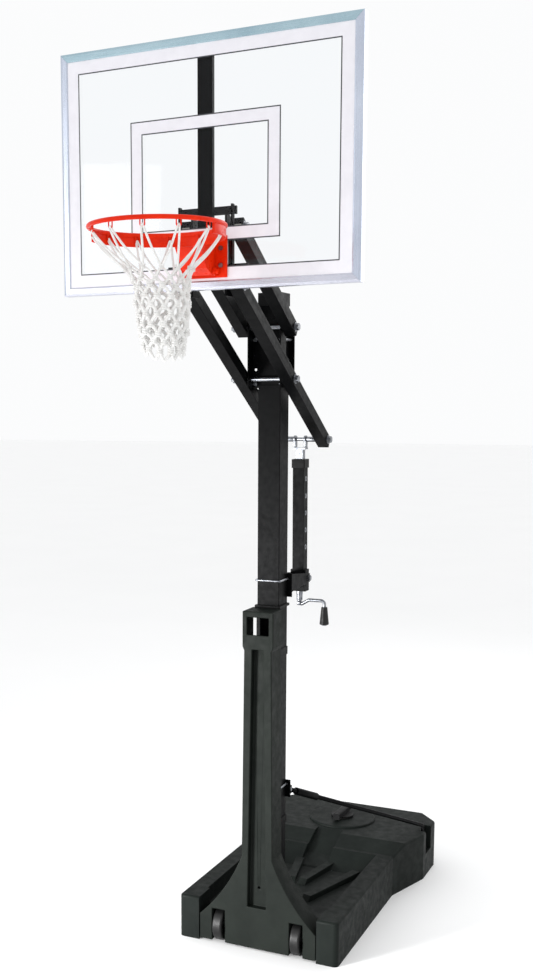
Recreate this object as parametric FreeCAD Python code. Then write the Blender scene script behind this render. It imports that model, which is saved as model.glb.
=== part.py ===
"""Portable basketball hoop on a moulded ballast base, with a screw jack that sets the height.

Millimetres.  X runs across the court, -Y points at the court, +Z is up.  The origin lies on the
ground under the centre of the pole.  At rest the rim stands at its full height.
"""
import FreeCAD, Part
import math
import os

V = FreeCAD.Vector

# ---- playing sizes ---------------------------------------------------------------------------
RIM_HEIGHT = 3048.0
RING_INNER_D = 457.2
RING_ROD_D = 16.0
RING_REACH = 381.0            # ring centre in front of the board's face
BOARD_W = 1219.2
BOARD_H = 914.4
BOARD_DROP = 192.0            # board's lower edge below the rim
NET_LENGTH = 470.0

# ---- board and its frame ---------------------------------------------------------------------
BOARD_FRONT_Y = -720.0
FRAME_DEPTH = 40.0
FRAME_FACE = 32.0
FRAME_WALL = 2.5
PANEL_SET_BACK = 4.0
PANEL_T = 12.0
CENTRE_BAR_W = 61.0
BAR_BACK_Y = -684.0           # back of the bars that lie on the panel
CROSS_BACK_Y = -672.0
EAR_OUT_X = 74.0

# ---- rim -------------------------------------------------------------------------------------
RIM_PLATE_W = 194.0
RIM_PLATE_H = 151.0
RIM_PLATE_T = 8.0
RIM_BOX_HALF = 50.0
RIM_PIN_Y = -740.0
RIM_PIN_Z = 2918.0
RIM_PIN_R = 6.0
RIM_BOLT_X = 74.0
RIM_BOLT_Z = (2941.0, 3003.0)
STRAP_H = 38.0
STRAP_T = 5.0

# ---- pole, arms and pivots -------------------------------------------------------------------
POLE_W = 101.6
POLE_WALL = 4.8
POLE_FOOT_Z = 136.0
POLE_TOP_Z = 2890.0
ARM_W = 50.8
ARM_WALL = 3.2
ARM_INNER_X = 81.2            # inner face of each arm
PIVOT_Y = -90.0
LOWER_PIVOT_Z = 2531.0
UPPER_PIVOT_Z = 2746.0
ARM_REACH = 550.0             # from the pole pivots forward to the board pivots
ARM_RISE = 341.0
ARM_FRONT_END = 22.0          # arm past its board pivot
ARM_REAR_END = 30.0           # arm past its rearmost hole
FLANGE_OUT_X = 76.0
CLAMP_BOLT_X = 60.0
CLAMP_BOLT_Z = (2512.0, 2699.0)
SPARE_HOLE_Z = 2573.0
LEVER = 505.0                 # from the lower pivot back to the jack's cross bolt
PIVOT_R = 8.0
RUNNING_GAP = 0.05            # radial, in every turning joint
BUSH_R = 11.0

# ---- screw jack ------------------------------------------------------------------------------
JACK_FOOT_Y = 345.0
JACK_FOOT_Z = 1623.0
JACK_OUTER_W = 54.0
JACK_OUTER_WALL = 3.0
JACK_INNER_W = 34.0
JACK_INNER_WALL = 3.0
JACK_TUBE_LOW = -40.0         # ends of the outer tube along the jack, from the trunnions
JACK_TUBE_HIGH = 545.0
JACK_INNER_LOW = -35.0
JACK_SLIDE_GAP = 0.05
SIGHT_HOLE_R = 9.0
SIGHT_HOLES = tuple(145 + 79 * i for i in range(5))
TRUNNION_R = 8.0
TRUNNION_OUT_X = 39.0
JACK_EYE_R = 17.0
JACK_EYE_X = 25.0
SCREW_R = 9.0
CRANK_ARM = 122.0
CRANK_ROD_R = 8.0
CRANK_ARM_DROP = 104.0        # crank arm below the trunnions

# ---- base ------------------------------------------------------------------------------------
TANK_FRONT_Y = -172.0
TANK_BACK_Y = 1292.0
TANK_HALF_W = 380.0
TANK_REAR_HALF_W = 457.0
TANK_DECK_Z = 200.0
TANK_REAR_Z = 238.0
DECK_Z = 128.0                # floor of the sunken deck
FILLER_Y = 1030.0
FILLER_BORE_R = 40.0
FILLER_SEAT_R = 172.0
FILLER_SEAT_H = 10.0
FOOT_BOLT_X = 85.0
FOOT_HALF_W = 278.0
SHROUD_BACK_Y = -54.0
SHROUD_TOP_Z = 1541.0
SHROUD_WALL = 6.0
PANEL_SUNK = 30.0
WINDOW_W = 100.0
WINDOW_Z = 1438.0
WINDOW_H = 77.0
WHEEL_R = 76.0
WHEEL_W = 46.0
WHEEL_X = 186.0
WHEEL_Y = -118.0
WHEEL_Z = 77.5
AXLE_R = 8.0
BRACE_R = 10.5
BRACE_START = (46.0, 85.0, 684.0)
BRACE_END = (426.0, 1058.0, 252.0)
BRACE_BOLT_Z = 178.0
U_BOLT_R = 4.5

# ---- derived places --------------------------------------------------------------------------
BOARD_LOW_Z = RIM_HEIGHT - BOARD_DROP
BOARD_HIGH_Z = BOARD_LOW_Z + BOARD_H
UPRIGHT_TOP_Z = BOARD_LOW_Z + 308
BOARD_BACK_Y = BOARD_FRONT_Y + FRAME_DEPTH
PANEL_FRONT_Y = BOARD_FRONT_Y + PANEL_SET_BACK
PANEL_BACK_Y = PANEL_FRONT_Y + PANEL_T
RING_Y = BOARD_FRONT_Y - RING_REACH
RING_R = (RING_INNER_D + RING_ROD_D) / 2
RING_Z = RIM_HEIGHT - RING_ROD_D / 2
POLE_HALF = POLE_W / 2
ARM_SLOPE = math.atan2(ARM_RISE, ARM_REACH)
ARM_LENGTH = math.hypot(ARM_REACH, ARM_RISE)
ARM_OUTER_X = ARM_INNER_X + ARM_W
FRONT_PIVOT_Y = PIVOT_Y - ARM_REACH
LOWER_FRONT_Z = LOWER_PIVOT_Z + ARM_RISE
UPPER_FRONT_Z = UPPER_PIVOT_Z + ARM_RISE
CROSS_Y = PIVOT_Y + LEVER * math.cos(ARM_SLOPE)
CROSS_Z = LOWER_PIVOT_Z - LEVER * math.sin(ARM_SLOPE)
JACK_LEAN = math.degrees(math.atan2(CROSS_Y - JACK_FOOT_Y, CROSS_Z - JACK_FOOT_Z))
JACK_LENGTH = math.hypot(CROSS_Y - JACK_FOOT_Y, CROSS_Z - JACK_FOOT_Z)
U_BOLT_LEG_X = POLE_HALF + U_BOLT_R + 0.5


# ---- building blocks -------------------------------------------------------------------------
def box(x0, x1, y0, y1, z0, z1):
    """Box between two corners."""
    return Part.makeBox(x1 - x0, y1 - y0, z1 - z0, V(x0, y0, z0))


def mid_box(width, y0, y1, z0, z1):
    """Box centred on X = 0."""
    return box(-width / 2, width / 2, y0, y1, z0, z1)


def rod(x, y, z, radius, length, axis=V(0, 0, 1)):
    """Round bar that starts at a point and runs along an axis."""
    return Part.makeCylinder(radius, length, V(x, y, z), axis)


def cross_rod(y, z, radius, x0, x1):
    """Round bar along X."""
    return rod(x0, y, z, radius, x1 - x0, V(1, 0, 0))


def ring(x, y, z, outer, inner, length, axis=V(0, 0, 1)):
    """Plain washer or bush."""
    return rod(x, y, z, outer, length, axis).cut(rod(x, y, z, inner, length, axis))


def hexagon(x, y, z, across_flats, length, axis=V(0, 0, 1)):
    """Hexagonal bar that starts at a point and runs along an axis."""
    corner = across_flats / math.sqrt(3)
    angles = [math.radians(60 * i) for i in range(7)]
    outline = Part.makePolygon([V(corner * math.cos(a), corner * math.sin(a), 0) for a in angles])
    bar = Part.Face(outline).extrude(V(0, 0, length))
    bar.Placement = FreeCAD.Placement(V(x, y, z), FreeCAD.Rotation(V(0, 0, 1), axis))
    return bar


def prism(points, plane, start, length):
    """Closed outline drawn in the XY, XZ or YZ plane, extruded along the third axis."""
    corner = {
        "XY": lambda a, b: V(a, b, start),
        "XZ": lambda a, b: V(a, start, b),
        "YZ": lambda a, b: V(start, a, b),
    }[plane]
    along = {"XY": V(0, 0, length), "XZ": V(0, length, 0), "YZ": V(length, 0, 0)}[plane]
    wire = Part.makePolygon([corner(a, b) for a, b in points + points[:1]])
    return Part.Face(wire).extrude(along)


def square_tube(width, wall, length):
    """Square tube standing on the origin."""
    outer = mid_box(width, -width / 2, width / 2, 0, length)
    bore = width - 2 * wall
    return outer.cut(mid_box(bore, -bore / 2, bore / 2, 0, length))


def fillet(shape, radius, chosen):
    """Rounds the edges that a test picks by their two end points."""
    edges = []
    for edge in shape.Edges:
        if len(edge.Vertexes) == 2 and chosen(edge.Vertexes[0].Point, edge.Vertexes[1].Point):
            edges.append(edge)
    return shape.makeFillet(radius, edges)


def upright(a, b):
    """True for an edge that stands along Z."""
    return abs(a.x - b.x) < 0.01 and abs(a.y - b.y) < 0.01


def mirrored(shape):
    """The same piece on the other side of X = 0."""
    return shape.mirror(V(0, 0, 0), V(1, 0, 0))


def both_sides(shape):
    """A piece and its mirror image."""
    return [shape, mirrored(shape)]


def pivot_bolt(y, z, radius, half, across_flats):
    """Bolt along X with its washers and nut, clamped at plus and minus half."""
    washer = 2.5
    head = across_flats * 0.55
    shank = cross_rod(y, z, radius, -half - washer - head - 8, half + washer)
    bolt = shank.fuse(hexagon(half + washer, y, z, across_flats, head, V(1, 0, 0)))
    washers = both_sides(ring(half, y, z, across_flats * 0.75, radius, washer, V(1, 0, 0)))
    nut = hexagon(-half - washer, y, z, across_flats, head, V(-1, 0, 0))
    nut = nut.cut(cross_rod(y, z, radius, -half - 60, -half))
    return [bolt, nut] + washers


def sweep_rod(points, radius, bends):
    """Round bar along straight runs with an arc at every inner corner."""
    edges = []
    start = points[0]
    for i in range(1, len(points) - 1):
        corner = points[i]
        back = (points[i - 1] - corner).normalize()
        ahead = (points[i + 1] - corner).normalize()
        half_turn = math.acos(max(-1.0, min(1.0, back.dot(ahead)))) / 2
        trim = bends[i - 1] / math.tan(half_turn)
        first = corner + back * trim
        last = corner + ahead * trim
        middle_way = (back + ahead).normalize()
        depth = bends[i - 1] / math.sin(half_turn)
        middle = corner + middle_way * (depth - bends[i - 1])
        edges.append(Part.LineSegment(start, first).toShape())
        edges.append(Part.Arc(first, middle, last).toShape())
        start = last
    edges.append(Part.LineSegment(start, points[-1]).toShape())
    path = Part.Wire(edges)
    section = Part.Wire([Part.Circle(points[0], points[1] - points[0], radius).toShape()])
    return path.makePipeShell([section], True, True)


def on_jack(shape):
    """Moves a piece drawn about the trunnions, with the jack upright, onto the leaning jack."""
    lean = FreeCAD.Rotation(V(1, 0, 0), -JACK_LEAN)
    placed = shape.copy()
    placed.Placement = FreeCAD.Placement(V(0, JACK_FOOT_Y, JACK_FOOT_Z), lean).multiply(shape.Placement)
    return placed


nodes = {}


def add(name, *solids):
    """Files one or more separate solids under a node's name."""
    flat = []
    for item in solids:
        flat.extend(item if isinstance(item, list) else [item])
    nodes[name] = flat[0] if len(flat) == 1 else Part.Compound(flat)


# ---- ballast tank ----------------------------------------------------------------------------
def ballast_tank():
    """Blow-moulded tank: two front blocks, a sunken deck, a raised rear with a domed filler seat."""
    right = [
        (TANK_HALF_W, TANK_FRONT_Y),
        (TANK_HALF_W - 6, 690),
        (TANK_REAR_HALF_W, 965),
        (TANK_REAR_HALF_W, 1190),
        (TANK_REAR_HALF_W - 92, TANK_BACK_Y),
    ]
    plan = right + [(-x, y) for x, y in reversed(right)]
    body = fillet(prism(plan, "XY", 0, TANK_REAR_Z), 22, upright)
    side = [
        (TANK_FRONT_Y - 1, -1),
        (TANK_FRONT_Y - 1, TANK_DECK_Z),
        (700, TANK_DECK_Z),
        (800, TANK_REAR_Z),
        (TANK_BACK_Y + 1, TANK_REAR_Z),
        (TANK_BACK_Y + 1, -1),
    ]
    body = body.common(prism(side, "YZ", -TANK_REAR_HALF_W - 1, 2 * TANK_REAR_HALF_W + 2))
    body = fillet(body, 12, lambda a, b: min(a.z, b.z) > TANK_DECK_Z - 1)
    # the foot of the shroud stands in this bay, between the front blocks
    bay_back = SHROUD_BACK_Y + 2
    body = body.cut(mid_box(2 * FOOT_HALF_W + 8, TANK_FRONT_Y - 1, bay_back, -1, TANK_REAR_Z + 1))
    # sunken deck that rises in a slope to the raised rear
    well = [
        (bay_back - 1, DECK_Z),
        (560, DECK_Z),
        (745, TANK_REAR_Z + 1),
        (bay_back - 1, TANK_REAR_Z + 1),
    ]
    body = body.cut(prism(well, "YZ", -292, 584))
    # valley from the deck up to the filler seat
    valley = [(540, DECK_Z), (680, 158), (850, TANK_REAR_Z + 1), (540, TANK_REAR_Z + 1)]
    body = body.cut(prism(valley, "YZ", -68, 136))
    # long ribs that fan out towards the rear stiffen the deck
    for x, y, length, turn in ((108, 150, 470, -17), (26, 330, 330, -11)):
        rib = [(0, DECK_Z - 2), (24, DECK_Z + 26), (length - 50, DECK_Z + 26), (length, DECK_Z - 2)]
        rib = prism(rib, "YZ", -20, 40)
        rib.rotate(V(0, 0, 0), V(0, 0, 1), turn)
        rib.translate(V(x, y, 0))
        body = body.fuse(both_sides(rib))
    for x in (-WHEEL_X, WHEEL_X):
        body = body.cut(box(x - 34, x + 34, bay_back - 1, WHEEL_Y + WHEEL_R + 8, -1, DECK_Z + 1))
    seat = rod(0, FILLER_Y, TANK_REAR_Z - 2, FILLER_SEAT_R, FILLER_SEAT_H + 2)
    seat = seat.makeFillet(FILLER_SEAT_H - 2, [e for e in seat.Edges if e.BoundBox.ZMin > TANK_REAR_Z])
    body = body.fuse(seat)
    body = body.cut(rod(0, FILLER_Y, TANK_REAR_Z - 40, FILLER_BORE_R, 80))
    # pockets in the rear sides where the braces are bolted on
    brace_x = BRACE_END[0]
    pocket = box(brace_x - 3, brace_x + 60, BRACE_END[1] - 50, BRACE_END[1] + 50, 118, TANK_REAR_Z + 1)
    hole = cross_rod(BRACE_END[1], BRACE_BOLT_Z, 5, brace_x - 60, brace_x)
    for piece in both_sides(pocket) + both_sides(hole):
        body = body.cut(piece)
    for x in (-FOOT_BOLT_X, FOOT_BOLT_X):
        body = body.cut(rod(x, 0, DECK_Z - 45, 6, 60))
    return body.removeSplitter()


def fill_cap():
    """Quarter-turn plug with a raised bar to turn it by."""
    seat_z = TANK_REAR_Z + FILLER_SEAT_H
    plug = rod(0, FILLER_Y, seat_z - 30, FILLER_BORE_R - RUNNING_GAP, 31)
    disc = rod(0, FILLER_Y, seat_z + 3, 58, 10)
    bar = box(-18, 18, FILLER_Y - 104, FILLER_Y + 104, seat_z + 11, seat_z + 43)
    bar = fillet(bar, 10, lambda a, b: abs(a.y - b.y) > 100 and a.z > seat_z + 30)
    return plug.fuse([rod(0, FILLER_Y, seat_z, FILLER_BORE_R - RUNNING_GAP, 4), disc, bar]).removeSplitter()


def fill_gasket():
    """Rubber washer between the cap and its seat."""
    return ring(0, FILLER_Y, TANK_REAR_Z + FILLER_SEAT_H, 54, FILLER_BORE_R - RUNNING_GAP, 3)


# ---- shroud round the pole -------------------------------------------------------------------
def shroud_face(inset):
    """Front outline of the shroud: a foot that sweeps up into a narrow column with a wide cap."""
    side = [
        V(FOOT_HALF_W - inset, 0, 8 + inset),
        V(FOOT_HALF_W - inset, 0, 126 - inset * 0.5),
        V(166 - inset * 0.8, 0, 256 - inset * 0.6),
        V(73 - inset, 0, 430),
        V(64 - inset, 0, SHROUD_TOP_Z - 174),
        V(72 - inset, 0, SHROUD_TOP_Z - 156),
        V(72 - inset, 0, SHROUD_TOP_Z - inset),
    ]
    flipped = [V(-p.x, 0, p.z) for p in side]
    edges = []
    for points in (side, flipped):
        edges.append(Part.LineSegment(points[0], points[1]).toShape())
        edges.append(Part.Arc(points[1], points[2], points[3]).toShape())
        for a, b in zip(points[3:], points[4:]):
            edges.append(Part.LineSegment(a, b).toShape())
    edges.append(Part.LineSegment(side[-1], flipped[-1]).toShape())
    edges.append(Part.LineSegment(side[0], flipped[0]).toShape())
    return Part.Face(Part.Wire(Part.__sortEdges__(edges)))


def shroud_slab(inset, y0, y1):
    """Slab with the shroud's outline between two depths."""
    slab = shroud_face(inset).extrude(V(0, y1 - y0, 0))
    slab.translate(V(0, y0, 0))
    return slab


def tapered_panel(half_top, half_low, y0, y1, grow=0.0):
    """Long panel down the column, narrower at its top."""
    low, high = 200 - grow, SHROUD_TOP_Z - 168 + grow
    wide, narrow = half_low + grow, half_top + grow
    points = [(-wide, low), (wide, low), (narrow, high), (-narrow, high)]
    return prism(points, "XZ", y0, y1 - y0)


def pole_shroud():
    """Hollow moulding, open towards the pole, with a hand window and a long sunken panel."""
    wall = SHROUD_WALL
    front = TANK_FRONT_Y + 2
    body = shroud_slab(0, front, SHROUD_BACK_Y)
    body = body.cut(shroud_slab(wall, front + wall, SHROUD_BACK_Y + 1))
    body = body.fuse(tapered_panel(26, 44, front, front + PANEL_SUNK + wall, wall))
    body = body.cut(tapered_panel(26, 44, front - 1, front + PANEL_SUNK))
    body = body.cut(mid_box(WINDOW_W, front - 1, front + wall + 1, WINDOW_Z, WINDOW_Z + WINDOW_H))
    # wheel arches, walled off from the hollow inside
    arch_top = WHEEL_Z + WHEEL_R + 7
    for x in (-WHEEL_X, WHEEL_X):
        body = body.fuse(box(x - 37, x + 37, front, SHROUD_BACK_Y, 8, arch_top + 6))
        body = body.cut(box(x - 31, x + 31, front - 1, SHROUD_BACK_Y + 1, 0, arch_top))
    body = body.cut(cross_rod(WHEEL_Y, WHEEL_Z, AXLE_R, -FOOT_HALF_W - 1, FOOT_HALF_W + 1))
    body = body.cut(rod(0, front - 1, 285, 6, 60, V(0, 1, 0)))
    return body.removeSplitter()


def shroud_grip_bar():
    """Flat steel strap that stands behind the hand window."""
    back = TANK_FRONT_Y + 2 + SHROUD_WALL
    return box(-8, 8, back, back + 4, WINDOW_Z - 12, WINDOW_Z + WINDOW_H + 12)


def pole_collar():
    """Moulded collar that closes the gap between the shroud's top and the pole."""
    half = POLE_HALF + 9
    outer = fillet(mid_box(2 * half, -half - 4, half, SHROUD_TOP_Z, SHROUD_TOP_Z + 10), 6, upright)
    return outer.cut(mid_box(POLE_W, -POLE_HALF, POLE_HALF, SHROUD_TOP_Z - 1, SHROUD_TOP_Z + 11))


def shroud_straps():
    """Steel hoops that hold the shroud's back edge to the pole."""
    straps = []
    for z in (540, 1320):
        hoop = mid_box(POLE_W + 6, SHROUD_BACK_Y, POLE_HALF + 3, z, z + 36)
        hoop = hoop.fuse(mid_box(124, SHROUD_BACK_Y, -POLE_HALF, z, z + 36))
        straps.append(hoop.cut(mid_box(POLE_W, -POLE_HALF, POLE_HALF, z - 1, z + 37)).removeSplitter())
    return straps


# ---- wheels ----------------------------------------------------------------------------------
def tyre(x):
    """Rubber tyre with rounded shoulders."""
    body = rod(x - WHEEL_W / 2, WHEEL_Y, WHEEL_Z, WHEEL_R, WHEEL_W, V(1, 0, 0))
    body = body.makeFillet(9, [e for e in body.Edges if e.BoundBox.XLength < 1])
    return body.cut(cross_rod(WHEEL_Y, WHEEL_Z, WHEEL_R - 18, x - WHEEL_W, x + WHEEL_W))


def wheel(x):
    """Plastic wheel: rim, pierced web and hub."""
    axis = V(1, 0, 0)
    rim = ring(x - 22, WHEEL_Y, WHEEL_Z, WHEEL_R - 18, WHEEL_R - 24, 44, axis)
    web = ring(x - 5, WHEEL_Y, WHEEL_Z, WHEEL_R - 23, 17, 10, axis)
    hub = ring(x - 30, WHEEL_Y, WHEEL_Z, 18, AXLE_R + RUNNING_GAP, 60, axis)
    body = rim.fuse([web, hub])
    for i in range(5):
        a = 2 * math.pi * i / 5
        y, z = WHEEL_Y + 35 * math.cos(a), WHEEL_Z + 35 * math.sin(a)
        body = body.cut(cross_rod(y, z, 10, x - 6, x + 6))
    return body.removeSplitter()


def wheel_axle():
    """Axle through both wheels, with a press-on cap outside each hub."""
    axle = cross_rod(WHEEL_Y, WHEEL_Z, AXLE_R, -WHEEL_X - 44, WHEEL_X + 44)
    cap = ring(WHEEL_X + 37, WHEEL_Y, WHEEL_Z, 14, AXLE_R, 5, V(1, 0, 0))
    return [axle] + both_sides(cap)


# ---- pole and its fittings -------------------------------------------------------------------
def main_pole():
    """Square steel tube from its shoe to the top cap."""
    tube = square_tube(POLE_W, POLE_WALL, POLE_TOP_Z - POLE_FOOT_Z)
    tube.translate(V(0, 0, POLE_FOOT_Z))
    return tube.cut(cross_rod(5, POLE_FOOT_Z + 60, 6, -POLE_W, POLE_W))


def pole_cap():
    """Plastic cap with a skirt."""
    half = POLE_HALF + 3
    skirt = fillet(mid_box(2 * half, -half, half, POLE_TOP_Z - 48, POLE_TOP_Z + 5), 5, upright)
    return skirt.cut(mid_box(POLE_W, -POLE_HALF, POLE_HALF, POLE_TOP_Z - 49, POLE_TOP_Z))


def pole_foot_bracket():
    """Steel shoe bolted to the deck; its two cheeks hold the pole's sides."""
    shoe = mid_box(214, -46, 54, DECK_Z, POLE_FOOT_Z)
    cheek = box(POLE_HALF, POLE_HALF + 5, -40, 50, POLE_FOOT_Z, POLE_FOOT_Z + 90)
    body = shoe.fuse(both_sides(cheek))
    body = body.cut(cross_rod(5, POLE_FOOT_Z + 60, 6, -POLE_W, POLE_W))
    for x in (-FOOT_BOLT_X, FOOT_BOLT_X):
        body = body.cut(rod(x, 0, DECK_Z - 1, 6, 20))
    return body.removeSplitter()


def pole_foot_bolts():
    """Two bolts down into the tank and one through the cheeks and the pole."""
    bolt = hexagon(FOOT_BOLT_X, 0, POLE_FOOT_Z, 19, 9)
    bolt = bolt.fuse(rod(FOOT_BOLT_X, 0, DECK_Z - 44, 6, POLE_FOOT_Z - DECK_Z + 45))
    return both_sides(bolt) + pivot_bolt(5, POLE_FOOT_Z + 60, 6, POLE_HALF + 5, 19)


def back_plate(half_w, z0, z1, bolt_z, thickness):
    """Plate against the pole's back face, drilled for a U-bolt's legs."""
    plate = mid_box(2 * half_w, POLE_HALF, POLE_HALF + thickness, z0, z1)
    for x in (-U_BOLT_LEG_X, U_BOLT_LEG_X):
        plate = plate.cut(rod(x, POLE_HALF - 1, bolt_z, U_BOLT_R, thickness + 2, V(0, 1, 0)))
    return plate


def u_bolt(z, thickness):
    """Round U-bolt in front of the pole, its legs through a back plate, and a nut on each leg."""
    nut_y = POLE_HALF + thickness
    end_y = nut_y + 17
    x = U_BOLT_LEG_X
    bolt = sweep_rod([V(-x, end_y, z), V(-x, -x, z), V(x, -x, z), V(x, end_y, z)], U_BOLT_R, [6, 6])
    along = V(0, 1, 0)
    nut = hexagon(x, nut_y, z, 14, 8, along).cut(rod(x, nut_y - 1, z, U_BOLT_R, 10, along))
    return [bolt] + both_sides(nut)


# ---- base braces -----------------------------------------------------------------------------
def brace_line():
    """Start, unit direction and length of the right-hand brace."""
    start = V(*BRACE_START)
    run = V(*BRACE_END) - start
    return start, run / run.Length, run.Length


def brace_bracket():
    """Plate on the pole's back with a pair of ears for each brace."""
    x, y, z = BRACE_START
    body = back_plate(72, z - 26, z + 54, z + 38, 6)
    for x0 in (x - 12.5, x + 7.5):
        body = body.fuse(both_sides(box(x0, x0 + 5, POLE_HALF + 6, y + 12, z - 18, z + 18)))
    return body.cut(cross_rod(y, z, 5, -72, 72)).removeSplitter()


def brace():
    """Right-hand brace: a round tie rod with a flat end at the pole and at the tank."""
    start, way, length = brace_line()
    skip = 30
    first = start + way * skip
    body = rod(first.x, first.y, first.z, BRACE_R, length - skip, way)
    eye = cross_rod(start.y, start.z, 13, start.x - 6, start.x + 6)
    neck = box(start.x - 6, start.x + 6, start.y, start.y + 42, start.z - 30, start.z + 6)
    foot_x, foot_y = BRACE_END[0] - 3, BRACE_END[1]
    foot = box(foot_x, foot_x + 7, foot_y - 18, foot_y + 18, BRACE_BOLT_Z - 18, BRACE_END[2] + 12)
    body = body.fuse([eye, neck, foot])
    body = body.cut(cross_rod(start.y, start.z, 5, start.x - 20, start.x + 20))
    body = body.cut(cross_rod(foot_y, BRACE_BOLT_Z, 5, foot_x - 5, foot_x + 30))
    return body.removeSplitter()


def brace_sleeve():
    """Thick adjusting sleeve near the pole, with a lock nut."""
    start, way, length = brace_line()
    near = start + way * 62
    far = start + way * 212
    sleeve = rod(near.x, near.y, near.z, 17, 150, way).fuse(hexagon(far.x, far.y, far.z, 30, 10, way))
    return sleeve.cut(rod(start.x, start.y, start.z, BRACE_R, length, way))


def brace_bolts():
    """One bolt through each pair of bracket ears and one into each rear side of the tank."""
    x, y, z = BRACE_START
    axis = V(1, 0, 0)
    near = cross_rod(y, z, 5, x - 12.5, x + 12.5).fuse(hexagon(x + 12.5, y, z, 16, 7, axis))
    foot_x = BRACE_END[0] + 4
    far = cross_rod(BRACE_END[1], BRACE_BOLT_Z, 5, foot_x - 60, foot_x)
    far = far.fuse(hexagon(foot_x, BRACE_END[1], BRACE_BOLT_Z, 17, 7, axis))
    return both_sides(near.removeSplitter()) + both_sides(far.removeSplitter())


# ---- pivots on the pole ----------------------------------------------------------------------
def pivot_bracket():
    """Channel bolted to the pole's front; both arm pivots run through its flanges."""
    low, high = LOWER_PIVOT_Z - 36, UPPER_PIVOT_Z + 36
    body = mid_box(2 * FLANGE_OUT_X, -POLE_HALF - 6, -POLE_HALF, low, high)
    body = body.fuse(both_sides(box(FLANGE_OUT_X - 6, FLANGE_OUT_X, -112, -POLE_HALF, low, high)))
    for z in (LOWER_PIVOT_Z, UPPER_PIVOT_Z):
        body = body.cut(cross_rod(PIVOT_Y, z, PIVOT_R, -FLANGE_OUT_X - 1, FLANGE_OUT_X + 1))
    for z in CLAMP_BOLT_Z + (SPARE_HOLE_Z,):
        for x in (-CLAMP_BOLT_X, CLAMP_BOLT_X):
            body = body.cut(rod(x, -POLE_HALF - 7, z, 6, 8, V(0, 1, 0)))
    return body.removeSplitter()


def clamp_plate():
    """Plate behind the pole that the clamp bolts pull forward."""
    body = mid_box(148, POLE_HALF, POLE_HALF + 8, CLAMP_BOLT_Z[0] - 30, CLAMP_BOLT_Z[1] + 30)
    for z in CLAMP_BOLT_Z:
        for x in (-CLAMP_BOLT_X, CLAMP_BOLT_X):
            body = body.cut(rod(x, POLE_HALF - 1, z, 6, 10, V(0, 1, 0)))
    return body


def clamp_bolts():
    """Four long bolts beside the pole, each with a nut behind the clamp plate."""
    parts = []
    along = V(0, 1, 0)
    x = CLAMP_BOLT_X
    for z in CLAMP_BOLT_Z:
        bolt = hexagon(x, -POLE_HALF - 14, z, 17, 8, along)
        bolt = bolt.fuse(rod(x, -POLE_HALF - 7, z, 6, POLE_W + 34, along))
        nut = hexagon(x, POLE_HALF + 8, z, 18, 9, along).cut(rod(x, POLE_HALF + 7, z, 6, 12, along))
        parts += both_sides(bolt) + both_sides(nut)
    return parts


def arm_pivots(y, heights, inner_x):
    """Long bolts through both arms, with the washers that space the arms out from their bracket."""
    parts = []
    for z in heights:
        parts += pivot_bolt(y, z, PIVOT_R, ARM_OUTER_X + 0.4, 26)
        parts += both_sides(ring(inner_x, y, z, 15, PIVOT_R, ARM_INNER_X - inner_x - 0.4, V(1, 0, 0)))
    return parts


# ---- arms ------------------------------------------------------------------------------------
def arm(pivot_z, back):
    """Right-hand square tube that reaches back past its pole pivot and forward past the board's."""
    front = ARM_LENGTH + ARM_FRONT_END
    tube = square_tube(ARM_W, ARM_WALL, back + front)
    lie_down = FreeCAD.Rotation(V(1, 0, 0), 90 - math.degrees(ARM_SLOPE))
    rear_y = PIVOT_Y + back * math.cos(ARM_SLOPE)
    rear_z = pivot_z - back * math.sin(ARM_SLOPE)
    tube.Placement = FreeCAD.Placement(V(ARM_INNER_X + ARM_W / 2, rear_y, rear_z), lie_down)
    for y, z in ((PIVOT_Y, pivot_z), (FRONT_PIVOT_Y, pivot_z + ARM_RISE)):
        tube = tube.cut(cross_rod(y, z, BUSH_R, ARM_INNER_X - 1, ARM_OUTER_X + 1))
    if back > LEVER:
        tube = tube.cut(cross_rod(CROSS_Y, CROSS_Z, PIVOT_R, ARM_INNER_X - 1, ARM_OUTER_X + 1))
    return tube


def arm_bushes(pivot_z):
    """Right-hand arm's plain bushes, at the pole and at the board."""
    bushes = []
    for y, z in ((PIVOT_Y, pivot_z), (FRONT_PIVOT_Y, pivot_z + ARM_RISE)):
        bushes.append(ring(ARM_INNER_X, y, z, BUSH_R, PIVOT_R + RUNNING_GAP, ARM_W, V(1, 0, 0)))
    return bushes


def jack_cross_bolt():
    """Bolt between the arms' rear ends that carries the jack, with a spacer tube on each side."""
    start = JACK_EYE_X + 5.5
    spacer = ring(start, CROSS_Y, CROSS_Z, 12, PIVOT_R, ARM_INNER_X - start, V(1, 0, 0))
    return pivot_bolt(CROSS_Y, CROSS_Z, PIVOT_R, ARM_OUTER_X, 26) + both_sides(spacer)


# ---- jack ------------------------------------------------------------------------------------
def jack_bracket():
    """Plate on the pole with two long cheeks that carry the jack's trunnions."""
    body = back_plate(72, JACK_FOOT_Z - 45, JACK_FOOT_Z + 60, JACK_FOOT_Z + 38, 6)
    cheek = [
        (POLE_HALF + 6, JACK_FOOT_Z - 40),
        (JACK_FOOT_Y + 18, JACK_FOOT_Z - 20),
        (JACK_FOOT_Y + 18, JACK_FOOT_Z + 20),
        (POLE_HALF + 6, JACK_FOOT_Z + 55),
    ]
    body = body.fuse(both_sides(prism(cheek, "YZ", TRUNNION_OUT_X, 5)))
    tie = mid_box(2 * TRUNNION_OUT_X, POLE_HALF + 6, POLE_HALF + 90, JACK_FOOT_Z + 2, JACK_FOOT_Z + 7)
    body = body.fuse(tie)
    return body.cut(cross_rod(JACK_FOOT_Y, JACK_FOOT_Z, TRUNNION_R, -60, 60)).removeSplitter()


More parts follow.
